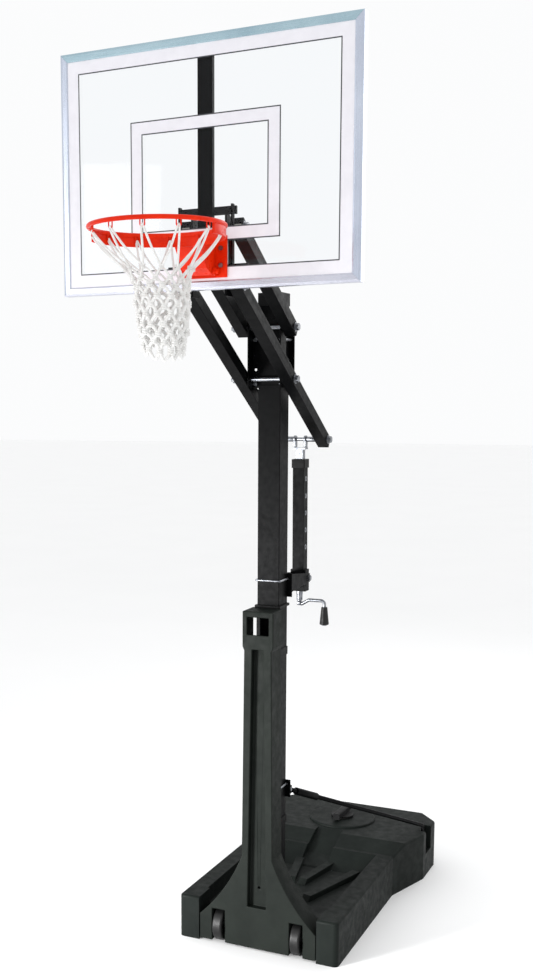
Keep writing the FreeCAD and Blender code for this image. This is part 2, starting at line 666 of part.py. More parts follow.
def jack_trunnions():
    """Stub bolts through the bracket's cheeks; the jack's housing hooks over their inner ends."""
    stub = cross_rod(JACK_FOOT_Y, JACK_FOOT_Z, TRUNNION_R, JACK_OUTER_W / 2 + 2, TRUNNION_OUT_X + 5)
    head = hexagon(TRUNNION_OUT_X + 5, JACK_FOOT_Y, JACK_FOOT_Z, 24, 10, V(1, 0, 0))
    return both_sides(stub.fuse(head).removeSplitter())


def jack_housing():
    """Foot of the jack: a screw bearing with two slotted cheeks that hook over the trunnions."""
    half = TRUNNION_OUT_X - 2
    tube_half = JACK_OUTER_W / 2
    body = mid_box(2 * half, -24, 24, JACK_TUBE_LOW - 22, JACK_TUBE_LOW)
    cheek = box(tube_half, half, -24, 24, JACK_TUBE_LOW, 40)
    slot = cross_rod(0, 0, TRUNNION_R + 1.5, tube_half - 1, half + 1)
    mouth = [(0, -9.5), (0, 9.5), (-25, 16), (-25, -16)]
    slot = slot.fuse(prism(mouth, "YZ", tube_half - 1, half - tube_half + 2))
    body = body.fuse(both_sides(cheek.cut(slot)))
    body = body.cut(rod(0, 0, JACK_TUBE_LOW - 23, SCREW_R + RUNNING_GAP, 24))
    return on_jack(body.removeSplitter())


def jack_outer_tube():
    """Square tube on the housing with a row of sight holes in its sides."""
    tube = square_tube(JACK_OUTER_W, JACK_OUTER_WALL, JACK_TUBE_HIGH - JACK_TUBE_LOW)
    tube.translate(V(0, 0, JACK_TUBE_LOW))
    for z in SIGHT_HOLES:
        tube = tube.cut(cross_rod(0, z, SIGHT_HOLE_R, -JACK_OUTER_W, JACK_OUTER_W))
    return on_jack(tube)


def jack_eyelets():
    """Plated eyelets that line the sight holes."""
    face = JACK_OUTER_W / 2
    bore = SIGHT_HOLE_R - 3.5
    along = V(1, 0, 0)
    eyelets = []
    for z in SIGHT_HOLES:
        sleeve = ring(face - JACK_OUTER_WALL, 0, z, SIGHT_HOLE_R, bore, JACK_OUTER_WALL + 1, along)
        flange = ring(face, 0, z, SIGHT_HOLE_R + 2.5, bore, 1.5, along)
        eyelet = sleeve.fuse(flange).removeSplitter()
        eyelets += [on_jack(piece) for piece in both_sides(eyelet)]
    return eyelets


def jack_collar():
    """Guide collar at the mouth of the outer tube."""
    half = JACK_OUTER_W / 2 + 5
    outer = fillet(mid_box(2 * half, -half, half, JACK_TUBE_HIGH - 34, JACK_TUBE_HIGH + 6), 5, upright)
    half = JACK_OUTER_W / 2
    outer = outer.cut(mid_box(JACK_OUTER_W, -half, half, JACK_TUBE_HIGH - 35, JACK_TUBE_HIGH))
    half = JACK_INNER_W / 2 + JACK_SLIDE_GAP
    return on_jack(outer.cut(mid_box(2 * half, -half, half, JACK_TUBE_HIGH - 1, JACK_TUBE_HIGH + 7)))


def jack_inner_tube():
    """Plated tube that telescopes in the outer one, with a forked head on the cross bolt."""
    top = JACK_LENGTH - 46
    tube = square_tube(JACK_INNER_W, JACK_INNER_WALL, top - JACK_INNER_LOW)
    tube.translate(V(0, 0, JACK_INNER_LOW))
    pieces = [mid_box(JACK_EYE_X * 2 + 10, -19, 19, top, top + 8)]
    for x in (-JACK_EYE_X, JACK_EYE_X):
        pieces.append(box(x - 5, x + 5, -14, 14, top + 7, JACK_LENGTH))
        pieces.append(cross_rod(0, JACK_LENGTH, JACK_EYE_R, x - 5, x + 5))
    body = tube.fuse(pieces).cut(cross_rod(0, JACK_LENGTH, PIVOT_R + RUNNING_GAP, -40, 40))
    return on_jack(body.removeSplitter())


def jack_nut():
    """Threaded nut fixed in the inner tube's lower end; the screw turns in it."""
    half = JACK_INNER_W / 2 - JACK_INNER_WALL
    nut = mid_box(2 * half, -half, half, JACK_INNER_LOW, JACK_INNER_LOW + 40)
    return on_jack(nut.cut(rod(0, 0, JACK_INNER_LOW - 1, SCREW_R + RUNNING_GAP, 42)))


def lead_screw():
    """Screw the length of the jack, with a thrust collar under the housing."""
    screw = rod(0, 0, -80, SCREW_R, JACK_TUBE_HIGH + 62)
    thrust = rod(0, 0, -80, 15, JACK_TUBE_LOW + 57.5)
    return on_jack(screw.fuse(thrust).removeSplitter())


def crank_rod():
    """Cranked bar under the jack: a socket on the screw, an arm and a downward pin for the grip."""
    z = -CRANK_ARM_DROP
    pin_end = z - 112
    socket = rod(0, 0, z - 2, 14, CRANK_ARM_DROP - 78)
    eye = cross_rod(0, z - 16, 12, -9, 9)
    route = [V(0, 0, z), V(0, 0, z - 28), V(46, 0, z), V(CRANK_ARM, 0, z), V(CRANK_ARM, 0, pin_end)]
    bar = sweep_rod(route, CRANK_ROD_R, [9, 14, 16])
    cap = rod(CRANK_ARM, 0, pin_end - 3, 12, 3)
    return on_jack(socket.fuse([eye, bar, cap]).removeSplitter())


def crank_grip():
    """Tapered grip that spins on the crank's pin."""
    top = -CRANK_ARM_DROP - 28
    low = top - 83
    grip = Part.makeCone(22, 14, top - low, V(CRANK_ARM, 0, low))
    grip = grip.makeFillet(4, [e for e in grip.Edges if e.BoundBox.ZLength < 0.1])
    return on_jack(grip.cut(rod(CRANK_ARM, 0, low - 1, CRANK_ROD_R + RUNNING_GAP, 90)))


# ---- board -----------------------------------------------------------------------------------
def rail_section():
    """Frame rail's section as (depth, distance in from the board's outer edge)."""
    front, back = BOARD_FRONT_Y, BOARD_BACK_Y
    wall = FRAME_WALL
    return [
        (PANEL_FRONT_Y, 0),
        (back, 0),
        (back, 22),
        (back - wall, 22),
        (back - wall, wall),
        (PANEL_BACK_Y + wall, wall),
        (PANEL_BACK_Y + wall, 20),
        (PANEL_BACK_Y, 20),
        (PANEL_BACK_Y, wall),
        (PANEL_FRONT_Y, wall),
        (PANEL_FRONT_Y, FRAME_FACE),
        (front + 1.5, FRAME_FACE),
        (front, FRAME_FACE - 5),
        (front, 9),
    ]


def frame_rail(direction):
    """Upper (1) or lower (-1) rail, mitred at both ends."""
    half = BOARD_W / 2
    edge = BOARD_HIGH_Z if direction > 0 else BOARD_LOW_Z
    points = [(y, edge - direction * d) for y, d in rail_section()]
    rail = prism(points, "YZ", -half, BOARD_W)
    inner = edge - direction * 60
    mitre = [(-half, edge), (half, edge), (half - 60, inner), (60 - half, inner)]
    return rail.common(prism(mitre, "XZ", BOARD_FRONT_Y - 1, FRAME_DEPTH + 2))


def frame_stile():
    """Right-hand rail of the frame, mitred at both ends."""
    half = BOARD_W / 2
    points = [(half - d, y) for y, d in rail_section()]
    rail = prism(points, "XY", BOARD_LOW_Z, BOARD_H)
    low, high = BOARD_LOW_Z, BOARD_HIGH_Z
    mitre = [(half, low), (half, high), (half - 60, high - 60), (half - 60, low + 60)]
    return rail.common(prism(mitre, "XZ", BOARD_FRONT_Y - 1, FRAME_DEPTH + 2))


def backboard_panel():
    """Clear sheet, drilled for the rim's bolts."""
    inset = FRAME_WALL + 1
    half = BOARD_W / 2 - inset
    sheet = mid_box(2 * half, PANEL_FRONT_Y, PANEL_BACK_Y, BOARD_LOW_Z + inset, BOARD_HIGH_Z - inset)
    return drilled_for_rim(sheet)


def drilled_for_rim(shape):
    """Cuts the four rim bolt holes."""
    for z in RIM_BOLT_Z:
        for x in (-RIM_BOLT_X, RIM_BOLT_X):
            shape = shape.cut(rod(x, PANEL_FRONT_Y - 30, z, 5, 60, V(0, 1, 0)))
    return shape


def centre_bar():
    """Square-section bar up the middle of the panel's back."""
    return mid_box(CENTRE_BAR_W, PANEL_BACK_Y, BAR_BACK_Y, BOARD_LOW_Z + 20, BOARD_HIGH_Z - 20)


def board_cross_bars():
    """Two bars across the centre bar and the uprights."""
    upper = mid_box(236, BAR_BACK_Y, CROSS_BACK_Y, BOARD_LOW_Z + 273, UPRIGHT_TOP_Z - 5)
    lower = mid_box(330, BAR_BACK_Y, CROSS_BACK_Y, BOARD_LOW_Z + 63, BOARD_LOW_Z + 93)
    return [upper, lower]


def board_uprights():
    """Thin uprights each side of the centre bar, tied to the cross bars."""
    return both_sides(box(104, 112, PANEL_BACK_Y, BAR_BACK_Y, BOARD_LOW_Z + 20, UPRIGHT_TOP_Z))


def board_ears():
    """Plates behind the board that the arms' front pivots run through."""
    outline = [
        (CROSS_BACK_Y, LOWER_FRONT_Z - 38),
        (FRONT_PIVOT_Y + 28, LOWER_FRONT_Z - 38),
        (FRONT_PIVOT_Y + 28, UPPER_FRONT_Z + 20),
        (FRONT_PIVOT_Y + 8, UPPER_FRONT_Z + 40),
        (CROSS_BACK_Y, UPPER_FRONT_Z + 72),
    ]
    ear = prism(outline, "YZ", EAR_OUT_X - 8, 8)
    for z in (LOWER_FRONT_Z, UPPER_FRONT_Z):
        ear = ear.cut(cross_rod(FRONT_PIVOT_Y, z, PIVOT_R, EAR_OUT_X - 9, EAR_OUT_X + 1))
    return both_sides(ear)


# ---- rim -------------------------------------------------------------------------------------
def rim_plate():
    """Plate bolted to the board's face, with two lugs for the release hinge."""
    front = PANEL_FRONT_Y - RIM_PLATE_T
    plate = mid_box(RIM_PLATE_W, front, PANEL_FRONT_Y, RIM_HEIGHT - RIM_PLATE_H, RIM_HEIGHT)
    lug = cross_rod(RIM_PIN_Y, RIM_PIN_Z, 15, RIM_BOX_HALF + 2, RIM_BOX_HALF + 8)
    web = box(RIM_BOX_HALF + 2, RIM_BOX_HALF + 8, RIM_PIN_Y, front, RIM_PIN_Z - 15, RIM_PIN_Z + 15)
    body = drilled_for_rim(plate).fuse(both_sides(lug) + both_sides(web))
    return body.cut(cross_rod(RIM_PIN_Y, RIM_PIN_Z, RIM_PIN_R, -80, 80)).removeSplitter()


def rim_hinge_pin():
    """Pin through the lugs, with a head and a nut."""
    return pivot_bolt(RIM_PIN_Y, RIM_PIN_Z, RIM_PIN_R, RIM_BOX_HALF + 8, 17)


def rim_clamp_flats():
    """Steel flats behind the sheet that spread the rim bolts' load."""
    flat = box(55, 92, PANEL_BACK_Y, PANEL_BACK_Y + 6, RIM_BOLT_Z[0] - 30, RIM_BOLT_Z[1] + 30)
    return both_sides(drilled_for_rim(flat))


def rim_bolts():
    """Four bolts through the plate, the sheet and the flats."""
    parts = []
    along = V(0, 1, 0)
    front = PANEL_FRONT_Y - RIM_PLATE_T
    nut_y = PANEL_BACK_Y + 6
    for z in RIM_BOLT_Z:
        x = RIM_BOLT_X
        bolt = hexagon(x, front - 7, z, 16, 7, along)
        bolt = bolt.fuse(rod(x, front - 1, z, 5, nut_y - front + 11, along))
        nut = hexagon(x, nut_y, z, 16, 7, along).cut(rod(x, nut_y - 1, z, 5, 9, along))
        parts += both_sides(bolt) + both_sides(nut)
    return parts


def rim_ring():
    """Round bar bent into the hoop."""
    return Part.makeTorus(RING_R, RING_ROD_D / 2, V(0, RING_Y, RING_Z))


def rim_brace():
    """Deep strap welded under the back of the hoop."""
    top = RING_Z - RING_ROD_D / 4
    outer = RING_R + STRAP_T / 2
    strap = ring(0, RING_Y, top - STRAP_H, outer, outer - STRAP_T, STRAP_H)
    keep = box(-300, 300, RING_Y - 45, RING_Y + 300, top - STRAP_H - 1, top + 1)
    return strap.common(keep).cut(rim_ring())


def rim_box():
    """Tapered steel box between the hinge and the hoop, open towards the plate."""
    outline = [
        (-726, RIM_PIN_Z),
        (-726, RING_Z + 4),
        (-880, RING_Z + 4),
        (-880, RING_Z - 18),
        (-800, RIM_PIN_Z + 8),
        (-748, RIM_PIN_Z - 14),
    ]
    inside = [
        (-720, RIM_PIN_Z - 8),
        (-720, RING_Z - 2),
        (-858, RING_Z - 2),
        (-858, RING_Z - 24),
        (-795, RIM_PIN_Z + 13),
        (-747, RIM_PIN_Z - 8),
    ]
    half = RIM_BOX_HALF
    body = prism(outline, "YZ", -half, 2 * half)
    body = body.fuse(cross_rod(RIM_PIN_Y, RIM_PIN_Z, 14, -half, half))
    body = body.cut(prism(inside, "YZ", 6 - half, 2 * half - 12))
    body = body.cut(cross_rod(RIM_PIN_Y, RIM_PIN_Z, 15, 6 - half, half - 6))
    body = body.cut(cross_rod(RIM_PIN_Y, RIM_PIN_Z, RIM_PIN_R + RUNNING_GAP, -half - 1, half + 1))
    body = body.cut(rod(0, RING_Y, RIM_PIN_Z - 50, RING_R, 300))
    return body.cut(rim_ring()).cut(rim_brace()).removeSplitter()


def net_hooks():
    """Twelve wire loops under the hoop that the net hangs from."""
    low = RING_Z - 28
    top = RING_Z - 4
    radius = RING_R - 6.2
    corners = [V(-8, radius, top), V(-8, radius, low), V(8, radius, low), V(8, radius, top)]
    hook = sweep_rod(corners, 2.2, [7, 7])
    hoop = rim_ring()
    hooks = []
    for i in range(12):
        piece = hook.copy()
        piece.rotate(V(0, 0, 0), V(0, 0, 1), 15 + 30 * i)
        piece.translate(V(0, RING_Y, 0))
        hooks.append(piece.cut(hoop))
    return hooks


def net():
    """Envelope of the cord net: an open funnel from the hooks to the tail."""
    profile = [(224, -20), (152, -110), (92, -260), (86, -380), (70, -NET_LENGTH)]
    outer = [(r, RING_Z + z) for r, z in profile]
    inner = [(r - 3, z) for r, z in reversed(outer)]
    funnel = Part.Face(Part.makePolygon([V(r, 0, z) for r, z in outer + inner + outer[:1]]))
    funnel = funnel.revolve(V(0, 0, 0), V(0, 0, 1), 360)
    funnel.translate(V(0, RING_Y, 0))
    return funnel


# ---- every piece under its name --------------------------------------------------------------
add("ballast_tank", ballast_tank())
add("fill_cap", fill_cap())
add("fill_gasket", fill_gasket())
add("pole_shroud", pole_shroud())
add("shroud_grip_bar", shroud_grip_bar())
add("shroud_straps", shroud_straps())
add("pole_collar", pole_collar())
add("wheel_axle", wheel_axle())
add("wheel_right", wheel(WHEEL_X))
add("wheel_left", mirrored(wheel(WHEEL_X)))
add("tyre_right", tyre(WHEEL_X))
add("tyre_left", mirrored(tyre(WHEEL_X)))

add("main_pole", main_pole())
add("pole_cap", pole_cap())
add("pole_foot_bracket", pole_foot_bracket())
add("brace_bracket", brace_bracket())
add("brace_right", brace())
add("brace_left", mirrored(brace()))
add("brace_sleeves", both_sides(brace_sleeve()))
add("pole_u_bolts", u_bolt(BRACE_START[2] + 38, 6), u_bolt(JACK_FOOT_Z + 38, 6))
add("base_bolts", pole_foot_bolts(), brace_bolts())

add("pivot_bracket", pivot_bracket())
add("clamp_plate", clamp_plate())
add("clamp_bolts", clamp_bolts())
add("pole_pivot_bolts", arm_pivots(PIVOT_Y, (LOWER_PIVOT_Z, UPPER_PIVOT_Z), FLANGE_OUT_X))
add("lower_arm_right", arm(LOWER_PIVOT_Z, LEVER + ARM_REAR_END))
add("lower_arm_left", mirrored(arm(LOWER_PIVOT_Z, LEVER + ARM_REAR_END)))
add("lower_arm_bushes", arm_bushes(LOWER_PIVOT_Z), [mirrored(b) for b in arm_bushes(LOWER_PIVOT_Z)])
add("upper_arm_right", arm(UPPER_PIVOT_Z, ARM_REAR_END))
add("upper_arm_left", mirrored(arm(UPPER_PIVOT_Z, ARM_REAR_END)))
add("upper_bushes_right", arm_bushes(UPPER_PIVOT_Z))
add("upper_bushes_left", [mirrored(b) for b in arm_bushes(UPPER_PIVOT_Z)])

add("jack_cross_bolt", jack_cross_bolt())
add("jack_bracket", jack_bracket())
add("jack_trunnions", jack_trunnions())
add("jack_housing", jack_housing())
add("jack_outer_tube", jack_outer_tube())
add("jack_collar", jack_collar())
add("jack_eyelets", jack_eyelets())
add("jack_inner_tube", jack_inner_tube(), jack_nut())
add("lead_screw", lead_screw())
add("crank_rod", crank_rod())
add("crank_grip", crank_grip())

add("backboard_panel", backboard_panel())
add("frame_top", frame_rail(1))
add("frame_bottom", frame_rail(-1))
add("frame_right", frame_stile())
add("frame_left", mirrored(frame_stile()))
add("centre_bar", centre_bar())
add("board_cross_bars", board_cross_bars())
add("board_uprights", board_uprights())
add("board_ears", board_ears())
add("board_pivot_bolts", arm_pivots(FRONT_PIVOT_Y, (LOWER_FRONT_Z, UPPER_FRONT_Z), EAR_OUT_X))
add("rim_fixing", rim_clamp_flats(), rim_bolts())
add("rim_plate", rim_plate(), rim_hinge_pin())
add("rim_ring", rim_ring())
add("rim_brace", rim_brace())
add("rim_box", rim_box())
add("net_hooks", net_hooks())
add("net", net())

os.makedirs("parts", exist_ok=True)
for name, shape in nodes.items():
    shape.exportStep(os.path.join("parts", name + ".step"))
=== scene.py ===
import math
import random

import bmesh
import bpy
from mathutils import Matrix, Vector


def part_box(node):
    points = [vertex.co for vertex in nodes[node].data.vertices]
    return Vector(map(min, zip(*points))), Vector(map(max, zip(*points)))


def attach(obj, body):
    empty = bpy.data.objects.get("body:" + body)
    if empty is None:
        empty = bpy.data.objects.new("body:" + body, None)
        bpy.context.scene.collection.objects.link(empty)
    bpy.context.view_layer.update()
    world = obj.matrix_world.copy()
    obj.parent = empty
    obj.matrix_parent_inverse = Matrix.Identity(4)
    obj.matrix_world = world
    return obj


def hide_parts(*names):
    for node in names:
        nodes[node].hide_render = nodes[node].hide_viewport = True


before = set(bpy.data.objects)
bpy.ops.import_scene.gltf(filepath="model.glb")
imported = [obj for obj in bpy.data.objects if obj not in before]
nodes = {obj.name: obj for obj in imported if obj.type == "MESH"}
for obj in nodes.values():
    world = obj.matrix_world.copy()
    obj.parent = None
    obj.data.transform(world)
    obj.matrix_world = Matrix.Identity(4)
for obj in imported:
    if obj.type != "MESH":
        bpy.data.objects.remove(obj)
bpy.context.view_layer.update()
rng = random.Random(11)


# ---- materials -------------------------------------------------------------------------------
class Shader:
    """A material's node tree, with short calls for the nodes used here."""

    def __init__(self, name):
        self.material = bpy.data.materials.new(name)
        self.material.use_nodes = True
        self.tree = self.material.node_tree
        self.tree.nodes.clear()
        self.out = self.tree.nodes.new("ShaderNodeOutputMaterial")
        self.coords = self.tree.nodes.new("ShaderNodeTexCoord")

    def node(self, kind, **settings):
        made = self.tree.nodes.new(kind)
        for key, value in settings.items():
            setattr(made, key, value)
        return made

    def link(self, a, b):
        self.tree.links.new(a, b)

    def stretched(self, scale):
        """Object coordinates scaled along each axis: a small factor draws a texture out."""
        mapping = self.node("ShaderNodeMapping")
        mapping.inputs["Scale"].default_value = scale
        self.link(self.coords.outputs["Object"], mapping.inputs["Vector"])
        return mapping.outputs[0]

    def noise(self, scale, detail=3.0, roughness=0.55, vector=None):
        made = self.node("ShaderNodeTexNoise")
        made.inputs["Scale"].default_value = scale
        made.inputs["Detail"].default_value = detail
        made.inputs["Roughness"].default_value = roughness
        self.link(vector or self.coords.outputs["Object"], made.inputs["Vector"])
        return made.outputs["Fac"]

    def ramp(self, value, stops):
        """A colour for each value, from (place, colour) stops."""
        made = self.node("ShaderNodeValToRGB")
        ramp = made.color_ramp
        while len(ramp.elements) < len(stops):
            ramp.elements.new(0.5)
        for element, (place, colour) in zip(ramp.elements, stops):
            element.position = place
            element.color = (*colour, 1.0)
        self.link(value, made.inputs[0])
        return made.outputs[0]

    def spread(self, value, low, high):
        """Spreads the middle of a noise over low to high."""
        made = self.node("ShaderNodeMapRange")
        made.inputs["From Min"].default_value = 0.3
        made.inputs["From Max"].default_value = 0.7
        made.inputs["To Min"].default_value = low
        made.inputs["To Max"].default_value = high
        self.link(value, made.inputs["Value"])
        return made.outputs[0]

    def bump(self, height, distance, strength, under=None):
        """A normal from a height, distance metres high, laid over another normal."""
        made = self.node("ShaderNodeBump")
        made.inputs["Strength"].default_value = strength
        made.inputs["Distance"].default_value = distance
        self.link(height, made.inputs["Height"])
        if under:
            self.link(under, made.inputs["Normal"])
        return made.outputs[0]

    def principled(self, colour, rough, normal=None, **values):
        made = self.node("ShaderNodeBsdfPrincipled")
        self.link(colour, made.inputs["Base Color"])
        self.link(rough, made.inputs["Roughness"])
        if normal:
            self.link(normal, made.inputs["Normal"])
        for key, value in values.items():
            made.inputs[key].default_value = value
        self.link(made.outputs[0], self.out.inputs["Surface"])
        return made


def powder_coat(name, dark, light, rough=(0.34, 0.5)):
    """Powder coat: fine orange peel, slight dust and uneven sheen."""
    s = Shader(name)
    colour = s.ramp(s.noise(9, 5, 0.6), [(0.35, dark), (0.75, light)])
    peel = s.bump(s.noise(520, 2), 0.00022, 0.55)
    s.principled(colour, s.spread(s.noise(42, 4), *rough), peel, **{"Specular IOR Level": 0.05})
    return s.material


def moulded_plastic(name, dark, light, rough=(0.48, 0.68), grain=900, grain_depth=0.0004, wave=0.0):
    """Moulded plastic: leathery grain, uneven sheen and, on large walls, a faint waviness."""
    s = Shader(name)
    colour = s.ramp(s.noise(5, 6, 0.62), [(0.3, dark), (0.72, light)])
    normal = s.bump(s.noise(grain, 3, 0.6), grain_depth, 0.6)
    if wave:
        normal = s.bump(s.noise(4.5, 2), wave, 0.5, normal)
    s.principled(colour, s.spread(s.noise(26, 5), *rough), normal, **{"Specular IOR Level": 0.09})
    return s.material


def zinc_plate():
    """Zinc plate, a little cloudy, with fine scratches."""
    s = Shader("zinc_plate")
    clouds = s.noise(60, 5, 0.65)
    stops = [(0.3, (0.13, 0.14, 0.16)), (0.55, (0.25, 0.26, 0.28)), (0.8, (0.42, 0.42, 0.41))]
    colour = s.ramp(clouds, stops)
    scratches = s.noise(300, 3, 0.6, s.stretched((1, 1, 0.12)))
    s.principled(colour, s.spread(clouds, 0.24, 0.46), s.bump(scratches, 0.00012, 0.5), Metallic=1.0)
    return s.material


def anodised_rail(name, scale, dark, light):
    """Anodised aluminium with drawing lines along one axis."""
    s = Shader(name)
    lines = s.noise(260, 3, 0.6, s.stretched(scale))
    colour = s.ramp(s.noise(3.2, 3), [(0.3, dark), (0.75, light)])
    s.principled(colour, s.spread(lines, 0.2, 0.36), s.bump(lines, 0.00006, 0.5), Metallic=0.82)
    return s.material


def gloss_paint():
    """Orange-red gloss coat on the rim."""
    s = Shader("rim_paint")
    colour = s.ramp(s.noise(14, 5, 0.6), [(0.3, (0.66, 0.016, 0.001)), (0.75, (0.86, 0.030, 0.003))])
    peel = s.bump(s.noise(420, 2), 0.00018, 0.5)
    s.principled(colour, s.spread(s.noise(50, 4), 0.24, 0.4), peel, **{"Specular IOR Level": 0.12})
    return s.material


def rubber(name, dark, light, grain=700):
    """Dull rubber, a little uneven in colour."""
    s = Shader(name)
    colour = s.ramp(s.noise(24, 6, 0.65), [(0.35, dark), (0.8, light)])
    grained = s.bump(s.noise(grain, 3), 0.0002, 0.5)
    s.principled(colour, s.spread(s.noise(60, 4), 0.38, 0.52), grained, **{"Specular IOR Level": 0.3})
    return s.material


def clear_sheet():
    """Clear polished sheet: see-through, with reflections that grow at a glancing view."""
    s = Shader("clear_sheet")
    clear = s.node("ShaderNodeBsdfTransparent")
    clear.inputs["Color"].default_value = (0.978, 0.986, 0.992, 1)
    gloss = s.node("ShaderNodeBsdfGlossy")
    gloss.inputs["Color"].default_value = (0.95, 0.97, 1.0, 1)
    s.link(s.spread(s.noise(7, 3), 0.015, 0.05), gloss.inputs["Roughness"])
    fresnel = s.node("ShaderNodeFresnel")
    fresnel.inputs["IOR"].default_value = 1.49
    reflected_share = 0.3
    share = s.node("ShaderNodeMath", operation="MULTIPLY")
    share.inputs[1].default_value = reflected_share
    s.link(fresnel.outputs[0], share.inputs[0])
    mix = s.node("ShaderNodeMixShader")
    s.link(share.outputs[0], mix.inputs[0])
    s.link(clear.outputs[0], mix.inputs[1])
    s.link(gloss.outputs[0], mix.inputs[2])
    s.link(mix.outputs[0], s.out.inputs["Surface"])
    return s.material


def screen_print(name, dark, light):
    """Screen-printed ink on the sheet."""
    s = Shader(name)
    colour = s.ramp(s.noise(30, 4), [(0.3, dark), (0.7, light)])
    s.principled(colour, s.spread(s.noise(12, 3), 0.32, 0.46), s.bump(s.noise(800, 2), 0.00004, 0.4))
    return s.material


def braided_cord():
    """White nylon cord: two sets of strands that cross round it, as its UV map unrolls it."""
    braid_pitch = 0.008
    strands = 5
    s = Shader("braided_cord")
    split = s.node("ShaderNodeSeparateXYZ")
    s.link(s.coords.outputs["UV"], split.inputs[0])
    waves = []
    for turn in (1.0, -1.0):
        along = s.node("ShaderNodeMath", operation="MULTIPLY_ADD")
        along.inputs[1].default_value = turn * 2 * math.pi / braid_pitch
        s.link(split.outputs["Y"], along.inputs[0])
        around = s.node("ShaderNodeMath", operation="MULTIPLY")
        around.inputs[1].default_value = 2 * math.pi * strands
        s.link(split.outputs["X"], around.inputs[0])
        s.link(around.outputs[0], along.inputs[2])
        wave = s.node("ShaderNodeMath", operation="SINE")
        s.link(along.outputs[0], wave.inputs[0])
        waves.append(wave.outputs[0])
    braid = s.node("ShaderNodeMath", operation="MAXIMUM")
    s.link(waves[0], braid.inputs[0])
    s.link(waves[1], braid.inputs[1])
    colour = s.ramp(s.noise(40, 5), [(0.3, (0.74, 0.73, 0.71)), (0.7, (0.88, 0.88, 0.87))])
    fuzz = s.bump(s.noise(1500, 2), 0.0003, 0.4)
    normal = s.bump(braid.outputs[0], 0.0006, 0.7, fuzz)
    s.principled(colour, s.spread(s.noise(90, 3), 0.7, 0.9), normal, **{"Sheen Weight": 0.35})
    return s.material


FINE_GRAIN = 1200

black_coat = powder_coat("black_powder_coat", (0.0010, 0.0011, 0.0013), (0.0032, 0.0034, 0.0038))
frame_black = powder_coat("black_board_bars", (0.0008, 0.0008, 0.0010), (0.0024, 0.0024, 0.0028),
                          (0.4, 0.55))
tank_plastic = moulded_plastic("tank_plastic", (0.0042, 0.0058, 0.0052), (0.0090, 0.0118, 0.0102),
                               wave=0.0025)
shroud_plastic = moulded_plastic("shroud_plastic", (0.0058, 0.0076, 0.0064), (0.0110, 0.0138, 0.0116),
                                 wave=0.002)
trim_plastic = moulded_plastic("trim_plastic", (0.006, 0.006, 0.0065), (0.013, 0.013, 0.0135),
                               (0.4, 0.55), FINE_GRAIN, 0.0002)
collar_plastic = moulded_plastic("collar_plastic", (0.005, 0.005, 0.005), (0.011, 0.011, 0.0115),
                                 (0.4, 0.6), FINE_GRAIN, 0.0002)
bush_plastic = moulded_plastic("bush_plastic", (0.4, 0.38, 0.33), (0.55, 0.53, 0.47),
                               (0.35, 0.5), FINE_GRAIN, 0.0001)
zinc = zinc_plate()
drawn_across = (0.03, 1, 1)
drawn_up = (1, 1, 0.03)
# frame_top gets a bluer, darker copy of the rails' anodised colour: a painted reflection of the light its
# upward face takes.
rail_top_painted_reflection = anodised_rail("anodised_top_painted_reflection", drawn_across, (0.30, 0.43, 0.50), (0.46, 0.60, 0.66))
rail_across = anodised_rail("anodised_across", drawn_across, (0.50, 0.51, 0.59), (0.66, 0.67, 0.75))
rail_up = anodised_rail("anodised_up", drawn_up, (0.46, 0.50, 0.60), (0.60, 0.65, 0.75))
orange = gloss_paint()
tyre_rubber = rubber("tyre_rubber", (0.002, 0.002, 0.002), (0.007, 0.007, 0.007))
grip_rubber = rubber("grip_rubber", (0.004, 0.004, 0.004), (0.011, 0.011, 0.011), 1000)
sheet_clear = clear_sheet()
ink_white = screen_print("ink_white", (0.80, 0.79, 0.84), (0.84, 0.83, 0.88))
ink_grey = screen_print("ink_grey", (0.035, 0.038, 0.045), (0.06, 0.064, 0.075))
cord_white = braided_cord()


# ---- materials and softened edges on the CAD nodes --------------------------------------------
WELD_DISTANCE = 0.00002
SHARP_EDGE_DEGREES = 38


def finish_node(name, material, edge):
    """Gives a CAD node its material and, where edge isn't 0, rounds its sharp edges."""
    piece = nodes[name]
    piece.data.materials.clear()
    piece.data.materials.append(material)
    for polygon in piece.data.polygons:
        polygon.material_index = 0
    if edge:
        weld = piece.modifiers.new("weld", "WELD")
        weld.merge_threshold = WELD_DISTANCE
        bevel = piece.modifiers.new("edges", "BEVEL")
        bevel.width = edge
        bevel.segments = 2
        bevel.limit_method = "ANGLE"
        bevel.angle_limit = math.radians(SHARP_EDGE_DEGREES)


